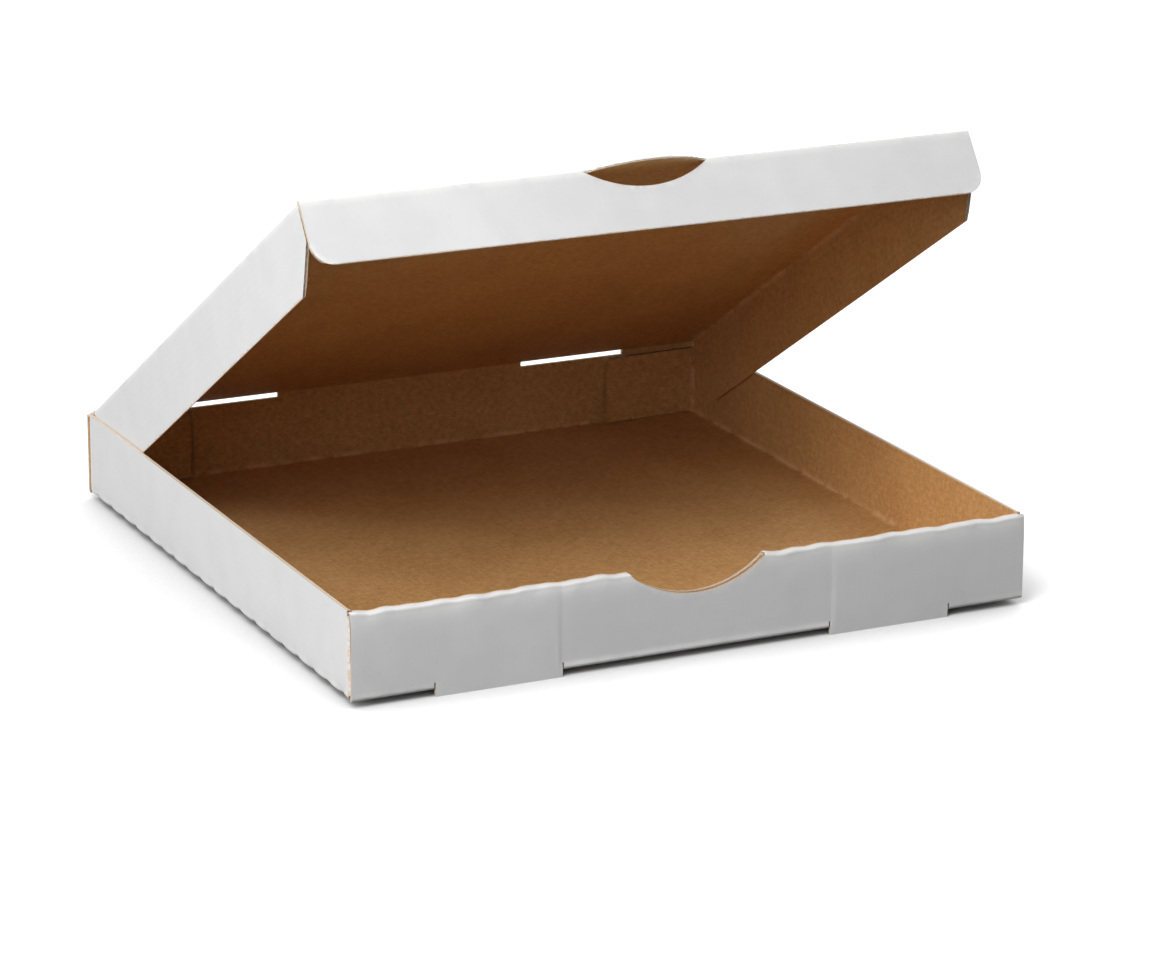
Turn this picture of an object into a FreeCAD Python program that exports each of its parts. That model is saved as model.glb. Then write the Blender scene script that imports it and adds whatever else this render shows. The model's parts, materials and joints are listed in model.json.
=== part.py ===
# Pizza box of corrugated board, folded from one blank, in millimetres.
# Frame: +Z up, front wall towards -Y, width along X. The origin is the middle of the box
# on the surface that it stands on, under the tips of its front feet.
import FreeCAD, Part

import math
import os

import Sketcher

doc = FreeCAD.newDocument("PizzaBox")
sheet = doc.addObject("Spreadsheet::Sheet", "Sizes")

# Driving sizes: alias, value, what it is
sizes = [
    ("box_width", 330, "outside width of the tray, along X"),
    ("box_depth", 330, "outside depth of the tray, along Y"),
    ("wall_height", 40, "underside of the floor to the top of the walls"),
    ("board", 1.6, "thickness of the corrugated board"),
    ("fold_inner", 0.4, "inside radius of a fold"),
    ("layer_gap", 0.3, "gap between layers that lie on each other"),
    ("foot_drop", 3, "how far the front feet reach below the floor"),
    ("foot_width", 60, "width of a foot and of its slot in the floor"),
    ("foot_centre", 96, "middle of the box to the middle of a foot"),
    ("tab_side_gap", 1, "gap at each end of a lock tab in its slot"),
    ("relief_width", 0.8, "width of the slit at each end of a foot"),
    ("relief_height", 3.5, "height of that slit above the floor's underside"),
    ("notch_width", 68, "width of the hand notch at the top of the front wall"),
    ("notch_depth", 13.9, "depth of the hand notch"),
    ("front_dust_length", 97, "front dust flap, from the side wall's outer face"),
    ("rear_dust_length", 52, "rear dust flap, from the side wall's outer face"),
    ("rear_dust_drop", 4, "top of a rear dust flap below the top of the walls"),
    ("slot_centre", 94.5, "middle of the box to the middle of a slot in the rear crease"),
    ("slot_width", 57, "length of a slot in the rear crease"),
    ("slot_wall_cut", 1.4, "how far that slot cuts into the back wall"),
    ("slot_lid_cut", 1.5, "how far that slot cuts into the lid, from the hinge axis"),
    ("hinge_gap", 0.5, "back wall to the lid's rounded rear edge"),
    ("lid_side_gap", 0.4, "lid's side flap to the tray's side wall"),
    ("lid_floor_gap", 0.8, "lid's side flap to the floor when the lid is closed"),
    ("lid_front_gap", 4.8, "lid's front crease to the front wall's inner panel"),
    ("lid_angle", 31.5, "how far the lid is open as stored, in degrees"),
    ("front_flap_depth", 31, "depth of the lid's front flap"),
    ("front_flap_splay", 5, "how far that flap leans outwards, in degrees"),
    ("front_flap_corner", 10, "radius of its lower corners"),
    ("side_flap_rear", 5, "hinge axis to the rear end of a side flap's fold"),
    ("side_flap_rear_foot", 14, "hinge axis to a side flap's lower rear corner"),
    ("side_flap_front", 2.5, "lid's front crease to the front end of a side flap"),
    ("side_flap_knee", 18, "lid's outer face to the knee in that front end"),
    ("side_flap_taper", 20, "lid's front crease to a side flap's lower front corner"),
    ("thumb_width", 63, "width of the thumb hole in the lid's front flap"),
    ("thumb_depth", 10.5, "depth of the thumb hole below the lid's outer face"),
    ("thumb_tab", 9.5, "reach of the half-moon tab past the lid's front crease"),
]
for row, (alias, value, note) in enumerate(sizes, start=1):
    sheet.set(f"A{row}", note)
    sheet.set(f"B{row}", str(value))
    sheet.setAlias(f"B{row}", alias)
doc.recompute()


def cell(alias):
    return f"Sizes.{alias}"


def value(expression):
    return float(sheet.evalExpression(expression))


# Places that follow from the driving sizes, as expressions
half_width = "(Sizes.box_width / 2)"
half_depth = "(Sizes.box_depth / 2)"
board = cell("board")
fold_inner = cell("fold_inner")
fold_outer = f"({fold_inner} + {board})"
floor_under = cell("foot_drop")
floor_top = f"({floor_under} + {board})"
wall_top = f"({floor_under} + Sizes.wall_height)"
fold_centre_z = f"({floor_under} + {fold_outer})"
floor_edge_x = f"({half_width} - {fold_outer})"
floor_edge_y = f"({half_depth} - {fold_outer})"
# The front wall is three layers thick: outer panel, dust flap, inner panel
front_layers = f"(3 * {board} + 2 * Sizes.layer_gap)"
front_inner_y = f"(-{half_depth} + {front_layers})"
roll_outer = f"({front_layers} / 2)"
roll_inner = f"({roll_outer} - {board})"
roll_z = f"({wall_top} - {roll_outer})"
roll_y = f"(-{half_depth} + {roll_outer})"
flap_bottom = f"({fold_centre_z} + Sizes.layer_gap)"
side_end_y = f"({half_depth} - {board} - Sizes.layer_gap - {fold_outer})"
hinge_y = f"({half_depth} - {board} / 2)"
hinge_z = f"({wall_top} - {board} / 2)"
back_top = f"({hinge_z} - {board} / 2 - Sizes.hinge_gap)"
foot_near = "(Sizes.foot_centre - Sizes.foot_width / 2)"
foot_far = "(Sizes.foot_centre + Sizes.foot_width / 2)"
slot_near = "(Sizes.slot_centre - Sizes.slot_width / 2)"
slot_far = "(Sizes.slot_centre + Sizes.slot_width / 2)"
past = "1"  # how far a cut runs past the face that it opens

# The lid's own places, from the hinge axis, with the lid flat and its front towards -Y
lid_reach = f"({hinge_y} - {front_inner_y} - Sizes.lid_front_gap)"
lid_half = f"({half_width} - {board} - Sizes.lid_side_gap)"
lid_fold_x = f"({lid_half} - {fold_outer})"
lid_fold_y = f"(-{lid_reach} + {fold_outer})"
lid_fold_z = f"({board} / 2 - {fold_outer})"
side_flap_bottom = f"({board} / 2 - Sizes.wall_height + {board} + Sizes.lid_floor_gap)"
side_flap_front_y = f"(-{lid_reach} + Sizes.side_flap_front)"
# The front flap leans outwards, so its fold turns less than a right angle
flap_turn = "(90 - Sizes.front_flap_splay)"
flap_run = f"(Sizes.front_flap_depth - {fold_outer})"


def plane_of(body, role):
    return next(part for part in body.Origin.OriginFeatures if part.Role == role)


def new_sketch(body, name, plane, offset=None):
    sketch = body.newObject("Sketcher::SketchObject", name)
    sketch.AttachmentSupport = [(plane_of(body, plane), "")]
    sketch.MapMode = "FlatFace"
    if offset:
        sketch.setExpression("AttachmentOffset.Base.z", offset)
    return sketch


def hold(sketch, geometry, vertex, axis, expression):
    kind = "DistanceX" if axis == 0 else "DistanceY"
    index = sketch.addConstraint(Sketcher.Constraint(kind, -1, 1, geometry, vertex, value(expression)))
    sketch.setExpression(f"Constraints[{index}]", expression)


def draw_outline(sketch, steps):
    """Closed outline. A step is (x, y) for a line to that point, or
    (x, y, centre x, centre y, radius, turn) for an arc to it, turn +1 being anticlockwise."""
    corners = [tuple(value(word) for word in step[:2]) for step in steps]
    lines = []
    for index, step in enumerate(steps):
        start = FreeCAD.Vector(*corners[index - 1], 0)
        end = FreeCAD.Vector(*corners[index], 0)
        if len(step) == 2:
            number = sketch.addGeometry(Part.LineSegment(start, end), False)
            lines.append((number, 1, 2))
            continue
        centre = FreeCAD.Vector(value(step[2]), value(step[3]), 0)
        radius = value(step[4])
        first, last = (start, end) if step[5] > 0 else (end, start)
        angles = [math.atan2(point.y - centre.y, point.x - centre.x) for point in (first, last)]
        if angles[1] <= angles[0]:
            angles[1] += 2 * math.pi
        circle = Part.Circle(centre, FreeCAD.Vector(0, 0, 1), radius)
        number = sketch.addGeometry(Part.ArcOfCircle(circle, *angles), False)
        lines.append((number, 1, 2) if step[5] > 0 else (number, 2, 1))
    for index, step in enumerate(steps):
        number, start, end = lines[index]
        following = lines[(index + 1) % len(lines)]
        sketch.addConstraint(Sketcher.Constraint("Coincident", number, end, following[0], following[1]))
        if len(step) > 2:
            hold(sketch, number, 3, 0, step[2])
            hold(sketch, number, 3, 1, step[3])
            turn = sketch.addConstraint(Sketcher.Constraint("Radius", number, value(step[4])))
            sketch.setExpression(f"Constraints[{turn}]", step[4])
        # A point on an arc is held along the arc only, because the radius holds it across
        arc = next((other for other in (step, steps[(index + 1) % len(steps)]) if len(other) > 2), None)
        if arc is None:
            axes = (0, 1)
        else:
            across = [abs(corners[index][axis] - value(arc[2 + axis])) for axis in (0, 1)]
            axes = (0,) if across[0] < across[1] else (1,)
        for axis in axes:
            hold(sketch, number, end, axis, step[axis])


def draw_box(sketch, x_low, x_high, y_low, y_high):
    draw_outline(sketch, [(x_high, y_low), (x_high, y_high), (x_low, y_high), (x_low, y_low)])


def draw_pair(sketch, x_near, x_far, y_low, y_high):
    draw_box(sketch, x_near, x_far, y_low, y_high)
    draw_box(sketch, f"-{x_far}", f"-{x_near}", y_low, y_high)


def draw_circle(sketch, x, y, radius):
    circle = Part.Circle(FreeCAD.Vector(value(x), value(y), 0), FreeCAD.Vector(0, 0, 1), value(radius))
    number = sketch.addGeometry(circle, False)
    hold(sketch, number, 3, 0, x)
    hold(sketch, number, 3, 1, y)
    index = sketch.addConstraint(Sketcher.Constraint("Radius", number, value(radius)))
    sketch.setExpression(f"Constraints[{index}]", radius)


def extrude(body, kind, name, sketch, length, both_ways=False, reverse=False):
    """Pad or Pocket of a sketch. Stops if it doesn't change the volume the right way."""
    before = body.Shape.Volume if body.Shape and not body.Shape.isNull() else 0
    feature = body.newObject(f"PartDesign::{kind}", name)
    feature.Profile = sketch
    feature.setExpression("Length", length)
    feature.SideType = "Symmetric" if both_ways else "One side"
    feature.Reversed = reverse
    doc.recompute()
    change = body.Shape.Volume - before
    if (kind == "Pad" and change <= 0) or (kind == "Pocket" and change >= 0):
        raise RuntimeError(f"{name} changes the volume by {change:.3f}")
    return feature


def lens_radius(width, depth):
    """Radius of the circle whose cap has this width and depth."""
    return f"(({width} ^ 2 / 4 + {depth} ^ 2) / (2 * {depth}))"


def build_tray():
    body = doc.addObject("PartDesign::Body", "tray")
    body.Label = "tray"

    # One strip from the back wall over the floor to the front wall and its rolled-over inner panel
    strip = new_sketch(body, "strip_profile", "YZ_Plane")
    front_fold_y = f"(-{floor_edge_y})"
    draw_outline(strip, [
        (half_depth, fold_centre_z),
        (floor_edge_y, floor_under, floor_edge_y, fold_centre_z, fold_outer, -1),
        (front_fold_y, floor_under),
        (f"(-{half_depth})", fold_centre_z, front_fold_y, fold_centre_z, fold_outer, -1),
        (f"(-{half_depth})", roll_z),
        (front_inner_y, roll_z, roll_y, roll_z, roll_outer, -1),
        (front_inner_y, flap_bottom),
        (f"({front_inner_y} - {board})", flap_bottom),
        (f"({front_inner_y} - {board})", roll_z),
        (f"(-{half_depth} + {board})", roll_z, roll_y, roll_z, roll_inner, 1),
        (f"(-{half_depth} + {board})", fold_centre_z),
        (front_fold_y, floor_top, front_fold_y, fold_centre_z, fold_inner, 1),
        (floor_edge_y, floor_top),
        (f"({half_depth} - {board})", fold_centre_z, floor_edge_y, fold_centre_z, fold_inner, 1),
        (f"({half_depth} - {board})", back_top),
        (half_depth, back_top),
    ])
    extrude(body, "Pad", "strip", strip, cell("box_width"), both_ways=True)

    # The floor and the inner panel are narrower than the outer walls
    ends = new_sketch(body, "strip_ends_outline", "XY_Plane")
    draw_pair(ends, floor_edge_x, f"({half_width} + {past})", front_fold_y, floor_edge_y)
    extrude(body, "Pocket", "strip_ends", ends, f"(4 * {wall_top})", both_ways=True)

    # Side walls with their folds, both drawn in one profile
    sides = new_sketch(body, "side_wall_profile", "XZ_Plane")
    for side in (1, -1):
        def across(expression):
            return expression if side > 0 else f"(-{expression})"
        draw_outline(sides, [
            (across(floor_edge_x), floor_under),
            (across(half_width), fold_centre_z, across(floor_edge_x), fold_centre_z, fold_outer, side),
            (across(half_width), wall_top),
            (across(f"({half_width} - {board})"), wall_top),
            (across(f"({half_width} - {board})"), fold_centre_z),
            (across(floor_edge_x), floor_top, across(floor_edge_x), fold_centre_z, fold_inner, -side),
        ])
    extrude(body, "Pad", "side_walls", sides, f"(2 * {side_end_y})", both_ways=True)

    # Dust flaps: the side walls' ends, folded in along the front and back walls
    dust_flaps = (("front_dust_flaps", -1, "front_dust_length", roll_z),
                  ("rear_dust_flaps", 1, "rear_dust_length", f"({wall_top} - Sizes.rear_dust_drop)"))
    for name, end, length, top in dust_flaps:
        plan = new_sketch(body, f"{name}_plan", "XY_Plane", flap_bottom)
        for side in (1, -1):
            def at(expression, sign):
                return expression if sign > 0 else f"(-{expression})"
            turn = -side * end
            outer_y = f"({side_end_y} + {fold_outer})"
            inner_y = f"({side_end_y} + {fold_inner})"
            free_end = f"({half_width} - Sizes.{length})"
            draw_outline(plan, [
                (at(half_width, side), at(side_end_y, end)),
                (at(floor_edge_x, side), at(outer_y, end),
                 at(floor_edge_x, side), at(side_end_y, end), fold_outer, -turn),
                (at(free_end, side), at(outer_y, end)),
                (at(free_end, side), at(inner_y, end)),
                (at(floor_edge_x, side), at(inner_y, end)),
                (at(f"({half_width} - {board})", side), at(side_end_y, end),
                 at(floor_edge_x, side), at(side_end_y, end), fold_inner, turn),
            ])
        extrude(body, "Pad", name, plan, f"({top} - {flap_bottom})")

    # Slots in the floor's front edge, with the feet and the inner panel's lock tabs in them
    slot_depth = f"({front_inner_y} + Sizes.layer_gap)"
    slots = new_sketch(body, "lock_slot_outline", "XY_Plane", f"({floor_under} - {past})")
    draw_pair(slots, foot_near, foot_far, f"(-{half_depth} - {past})", slot_depth)
    extrude(body, "Pocket", "lock_slots", slots, f"({fold_outer} + {past})", reverse=True)

    feet = new_sketch(body, "foot_outline", "XY_Plane")
    draw_pair(feet, foot_near, foot_far, f"(-{half_depth})", f"(-{half_depth} + {board})")
    extrude(body, "Pad", "feet", feet, fold_centre_z)

    tabs = new_sketch(body, "lock_tab_outline", "XY_Plane", floor_under)
    draw_pair(tabs, f"({foot_near} + Sizes.tab_side_gap)", f"({foot_far} - Sizes.tab_side_gap)",
              f"({front_inner_y} - {board})", front_inner_y)
    extrude(body, "Pad", "lock_tabs", tabs, f"({flap_bottom} - {floor_under})")

    relief_end = f"({floor_under} + Sizes.relief_height)"
    reliefs = new_sketch(body, "relief_outline", "XZ_Plane", f"({half_depth} + {past})")
    for near, far in ((foot_far, f"({foot_far} + Sizes.relief_width)"),
                      (f"({foot_near} - Sizes.relief_width)", foot_near)):
        draw_pair(reliefs, near, far, f"({floor_under} - {past})", relief_end)
    extrude(body, "Pocket", "reliefs", reliefs, f"({past} + {board} + Sizes.layer_gap / 2)")

    # Hand notch through all the layers of the front wall
    radius = lens_radius(cell("notch_width"), cell("notch_depth"))
    notch = new_sketch(body, "notch_outline", "XZ_Plane", f"({half_depth} + {past})")
    draw_circle(notch, "0", f"({wall_top} - Sizes.notch_depth + {radius})", radius)
    extrude(body, "Pocket", "hand_notch", notch, f"({front_layers} + 2 * {past})")

    # The back wall's share of the two slots in the rear crease
    crease = new_sketch(body, "crease_slot_outline", "XZ_Plane", f"(-{half_depth} - {past})")
    draw_pair(crease, slot_near, slot_far, f"({back_top} - Sizes.slot_wall_cut)", f"({back_top} + {past})")
    extrude(body, "Pocket", "crease_slots", crease, f"({board} + {past} + Sizes.layer_gap / 2)", reverse=True)
    return body


def flap_corner_edges(body):
    """Names of the two short edges at the front flap's lower corners."""
    lowest = min(vertex.Z for vertex in body.Shape.Vertexes if vertex.Y < value(lid_fold_y))
    names = []
    for number, edge in enumerate(body.Shape.Edges, start=1):
        middle = edge.CenterOfMass
        short = abs(edge.Length - value(board)) < value(fold_inner)
        low = middle.z - lowest < value(board) and middle.y < value(lid_fold_y)
        if short and low and abs(abs(middle.x) - value(lid_half)) < value(fold_inner):
            names.append(f"Edge{number}")
    if len(names) != 2:
        raise RuntimeError(f"found {len(names)} lower corners on the front flap")
    return names


def build_lid():
    body = doc.addObject("PartDesign::Body", "lid")
    body.Label = "lid"

    # Panel, front fold and front flap in one strip, its rear edge rounded about the hinge axis
    strip = new_sketch(body, "lid_profile", "YZ_Plane")

    def flap_point(radius, run):
        y = f"({lid_fold_y} - {radius} * sin({flap_turn}) - {run} * cos({flap_turn}))"
        z = f"({lid_fold_z} + {radius} * cos({flap_turn}) - {run} * sin({flap_turn}))"
        return y, z
    draw_outline(strip, [
        ("0", f"(-{board} / 2)"),
        ("0", f"({board} / 2)", "0", "0", f"({board} / 2)", 1),
        (lid_fold_y, f"({board} / 2)"),
        (*flap_point(fold_outer, "0"), lid_fold_y, lid_fold_z, fold_outer, 1),
        flap_point(fold_outer, flap_run),
        flap_point(fold_inner, flap_run),
        flap_point(fold_inner, "0"),
        (lid_fold_y, f"(-{board} / 2)", lid_fold_y, lid_fold_z, fold_inner, -1),
    ])
    extrude(body, "Pad", "lid_strip", strip, f"(2 * {lid_half})", both_ways=True)

    # The panel ends at the side folds, and the front flap keeps its full width
    ends = new_sketch(body, "panel_ends_outline", "XY_Plane")
    draw_pair(ends, lid_fold_x, f"({lid_half} + {past})", side_flap_front_y, f"({board} + {past})")
    extrude(body, "Pocket", "panel_ends", ends, f"(4 * {board})", both_ways=True)

    # Thumb hole across the front fold, with the half-moon tab left standing in the lid's plane
    radius = lens_radius(cell("thumb_width"), cell("thumb_depth"))
    hole = new_sketch(body, "thumb_hole_outline", "XZ_Plane", f"(-{lid_fold_y})")
    draw_circle(hole, "0", f"({board} / 2 - Sizes.thumb_depth + {radius})", radius)
    extrude(body, "Pocket", "thumb_hole", hole, f"({fold_outer} + Sizes.front_flap_depth)", reverse=True)

    tab_radius = lens_radius(cell("thumb_width"), f"(Sizes.thumb_tab + {fold_outer})")
    tab = new_sketch(body, "thumb_tab_outline", "XY_Plane")
    draw_circle(tab, "0", f"(-{lid_reach} - Sizes.thumb_tab + {tab_radius})", tab_radius)
    extrude(body, "Pad", "thumb_tab", tab, board, both_ways=True)

    # Side flap on the right with its fold, then both mirrored to the left
    fold = new_sketch(body, "side_fold_profile", "XZ_Plane", cell("side_flap_rear"))
    draw_outline(fold, [
        (lid_fold_x, f"(-{board} / 2)"),
        (f"({lid_half} - {board})", lid_fold_z, lid_fold_x, lid_fold_z, fold_inner, -1),
        (lid_half, lid_fold_z),
        (lid_fold_x, f"({board} / 2)", lid_fold_x, lid_fold_z, fold_outer, 1),
    ])
    side_fold = extrude(body, "Pad", "side_fold", fold, f"(-{side_flap_front_y} - Sizes.side_flap_rear)")
    flap = new_sketch(body, "side_flap_outline", "YZ_Plane", f"({lid_half} - {board})")
    draw_outline(flap, [
        ("(-Sizes.side_flap_rear)", lid_fold_z),
        (side_flap_front_y, lid_fold_z),
        (side_flap_front_y, f"({board} / 2 - Sizes.side_flap_knee)"),
        (f"(-{lid_reach} + Sizes.side_flap_taper)", side_flap_bottom),
        ("(-Sizes.side_flap_rear_foot)", side_flap_bottom),
    ])
    side_flap = extrude(body, "Pad", "side_flap", flap, board)
    mirror = body.newObject("PartDesign::Mirrored", "other_side_flap")
    mirror.Originals = [side_fold, side_flap]
    mirror.MirrorPlane = (plane_of(body, "YZ_Plane"), [""])
    body.Tip = mirror
    doc.recompute()

    # The lid's share of the two slots in the rear crease
    crease = new_sketch(body, "lid_crease_slot_outline", "XY_Plane")
    draw_pair(crease, slot_near, slot_far, "(-Sizes.slot_lid_cut)", f"({board} + {past})")
    extrude(body, "Pocket", "lid_crease_slots", crease, f"(4 * {board})", both_ways=True)

    # Rounded lower corners of the front flap
    sharp = body.Tip
    corner_edges = flap_corner_edges(body)
    rounding = body.newObject("PartDesign::Fillet", "front_flap_corners")
    rounding.Base = (sharp, corner_edges)
    rounding.setExpression("Radius", cell("front_flap_corner"))
    doc.recompute()

    # The lid turns open about the hinge axis, its front edge upwards
    body.Placement = FreeCAD.Placement(
        FreeCAD.Vector(0, value(hinge_y), value(hinge_z)),
        FreeCAD.Rotation(FreeCAD.Vector(-1, 0, 0), value(cell("lid_angle"))))
    body.setExpression("Placement.Base.y", hinge_y)
    body.setExpression("Placement.Base.z", hinge_z)
    body.setExpression("Placement.Rotation.Angle", cell("lid_angle"))
    return body


def check_model(parts):
    """Stops before anything is written if an object failed or a solid is not sound."""
    for item in doc.Objects:
        if "Invalid" in item.State or "Error" in item.State:
            raise RuntimeError(f"{item.Name} is {item.State}")
    for item in parts:
        shape = item.Shape
        if shape.isNull() or not shape.isValid() or len(shape.Solids) != 1:
            raise RuntimeError(f"{item.Label} is not one sound solid")


tray = build_tray()
lid = build_lid()
doc.recompute()
check_model([tray, lid])
os.makedirs("parts", exist_ok=True)
for item in (tray, lid):
    item.Shape.exportStep(f"parts/{item.Label}.step")
    box = item.Shape.BoundBox
    extent = f"{box.XLength:.1f} x {box.YLength:.1f} x {box.ZLength:.1f} mm"
    print(f"{item.Label}: {item.Shape.Volume / 1000:.1f} cm3, {extent}")
print(f"shared by tray and lid: {tray.Shape.common(lid.Shape).Volume:.4f} mm3")
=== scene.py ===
import json
import math

import bmesh
import bpy
from mathutils import Matrix, Vector, kdtree, noise
from mathutils.bvhtree import BVHTree


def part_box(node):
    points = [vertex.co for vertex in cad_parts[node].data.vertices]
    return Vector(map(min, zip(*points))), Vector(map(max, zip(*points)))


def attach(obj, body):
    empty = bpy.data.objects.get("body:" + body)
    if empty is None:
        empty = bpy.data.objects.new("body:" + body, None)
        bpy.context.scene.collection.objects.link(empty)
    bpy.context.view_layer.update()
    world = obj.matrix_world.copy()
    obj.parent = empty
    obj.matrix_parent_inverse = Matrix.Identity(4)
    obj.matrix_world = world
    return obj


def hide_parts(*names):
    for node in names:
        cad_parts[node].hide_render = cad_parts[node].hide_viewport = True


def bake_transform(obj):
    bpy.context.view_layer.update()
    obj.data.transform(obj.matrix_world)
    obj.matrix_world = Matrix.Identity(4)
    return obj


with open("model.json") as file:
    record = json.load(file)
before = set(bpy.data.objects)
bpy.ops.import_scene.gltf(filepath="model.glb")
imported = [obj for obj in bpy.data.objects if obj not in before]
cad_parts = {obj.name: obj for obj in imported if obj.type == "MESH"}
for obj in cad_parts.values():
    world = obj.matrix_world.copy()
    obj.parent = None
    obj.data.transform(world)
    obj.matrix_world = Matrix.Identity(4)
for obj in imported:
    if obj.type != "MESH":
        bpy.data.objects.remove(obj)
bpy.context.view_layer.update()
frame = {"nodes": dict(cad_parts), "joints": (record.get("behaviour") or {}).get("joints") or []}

hinge = frame["joints"][0]
hingeAt = Vector(hinge["pos_m"])
lidOpen = math.radians(-hinge["range_deg"][0])  # the lower limit is the shut lid
lidPlace = Matrix.Translation(hingeAt) @ Matrix.Rotation(lidOpen, 4, Vector(hinge["axis"]))
trayLow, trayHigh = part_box("tray")

# Board and blank, in metres, as the solids have them
board = {
    "thick": 0.0016,
    "foldInner": 0.0004,
    "layerGap": 0.0003,
    "footDrop": 0.003,
    "flutePitch": 0.0033,  # a fine flute, about three to the centimetre
    "cell": 0.003,  # size of the mesh's cells
    "beadWidth": 0.0012,  # raised bead along the inside of a fold
    "beadHeight": 0.00018,
    "beadRipple": 0.006,
    "foldCore": 0.0002,  # a fold counts in full up to here
    "foldAngle": 0.05,  # a fold's facets turn further than this, flat faces don't
    "sharpAngle": math.radians(35),  # a cut edge turns further than this, a fold doesn't
    "flatAngle": math.radians(0.5),
    "rim": 0.02,  # share of the thickness that is a liner's own edge
    "weld": 1e-6,
}
foldOuter = board["foldInner"] + board["thick"]
frontLayers = 3 * board["thick"] + 2 * board["layerGap"]
frontInnerY = trayLow.y + frontLayers
halfWidth = trayHigh.x
halfDepth = trayHigh.y


def lookAtBox():
    # the photograph's viewpoint, from its perspective
    eye = {"at": (-0.8520, -1.8148, 0.6578), "turn": 25.759, "down": 17.369, "roll": 0.340,
           "focalPixels": 4477.19, "imageWidth": 1170, "sensor": 36}
    data = bpy.data.cameras.new("camera")
    data.sensor_width = eye["sensor"]
    data.lens = eye["focalPixels"] / eye["imageWidth"] * eye["sensor"]
    data.clip_start = 0.05
    data.clip_end = 50
    camera = bpy.data.objects.new("camera", data)
    camera.matrix_world = (Matrix.Translation(eye["at"])
                           @ Matrix.Rotation(-math.radians(eye["turn"]), 4, "Z")
                           @ Matrix.Rotation(math.radians(90 - eye["down"]), 4, "X")
                           @ Matrix.Rotation(math.radians(eye["roll"]), 4, "Z"))
    bpy.context.scene.collection.objects.link(camera)
    bpy.context.scene.camera = camera


class Wire:
    # a node's output, on which sums and products add Math nodes
    def __init__(self, nodes, socket):
        self.nodes = nodes
        self.socket = socket

    def __add__(self, other):
        return self.nodes.maths("ADD", self, other)

    def __radd__(self, other):
        return self.nodes.maths("ADD", other, self)

    def __sub__(self, other):
        return self.nodes.maths("SUBTRACT", self, other)

    def __rsub__(self, other):
        return self.nodes.maths("SUBTRACT", other, self)

    def __mul__(self, other):
        return self.nodes.maths("MULTIPLY", self, other)

    def __rmul__(self, other):
        return self.nodes.maths("MULTIPLY", other, self)

    def __truediv__(self, other):
        return self.nodes.maths("DIVIDE", self, other)

    def __pow__(self, other):
        return self.nodes.maths("POWER", self, other)


class Nodes:
    # a node tree under construction
    def __init__(self, tree):
        self.tree = tree
        self.tree.nodes.clear()

    def node(self, kind, settings=None, inputs=None, output=0):
        made = self.tree.nodes.new(kind)
        for name, setting in (settings or {}).items():
            setattr(made, name, setting)
        for name, value in (inputs or {}).items():
            if isinstance(value, Wire):
                self.tree.links.new(value.socket, made.inputs[name])
            else:
                made.inputs[name].default_value = value
        return Wire(self, made.outputs[output]) if made.outputs else None

    def maths(self, operation, *values):
        return self.node("ShaderNodeMath", {"operation": operation}, dict(enumerate(values)))


class Paint(Nodes):
    # the tree of a material or of the world
    def __init__(self, owner):
        owner.use_nodes = True
        self.owner = owner
        super().__init__(owner.node_tree)

    def mix(self, factor, first, second):
        first, second = ((*c, 1) if isinstance(c, tuple) else c for c in (first, second))
        return self.node("ShaderNodeMix", {"data_type": "RGBA"}, {0: factor, 6: first, 7: second}, 2)

    def between(self, value, low, high):
        # 0 below low, 1 above high, smooth in between
        return self.node("ShaderNodeMapRange", {"interpolation_type": "SMOOTHSTEP"},
                         {"Value": value, "From Min": low, "From Max": high})

    def noise(self, coords, scale, detail=2.0, roughness=0.5):
        return self.node("ShaderNodeTexNoise", None,
                         {"Vector": coords, "Scale": scale, "Detail": detail, "Roughness": roughness})

    def stretched(self, coords, scale):
        return self.node("ShaderNodeMapping", None, {"Vector": coords, "Scale": scale})

    def attribute(self, name):
        return self.node("ShaderNodeAttribute", {"attribute_name": name}, None, 2)

    def bump(self, height, distance):
        return self.node("ShaderNodeBump", None, {"Height": height, "Distance": distance})

    def surface(self, **inputs):
        shader = self.node("ShaderNodeBsdfPrincipled", None,
                           {name.replace("_", " "): value for name, value in inputs.items()})
        self.node("ShaderNodeOutputMaterial", None, {"Surface": shader})
        return self.owner


def fluteWave(paint):
    # the washboard that the flutes leave in both liners, from -1 to 1
    return paint.maths("SINE", paint.attribute("flute") * (2 * math.pi / board["flutePitch"]))


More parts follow.
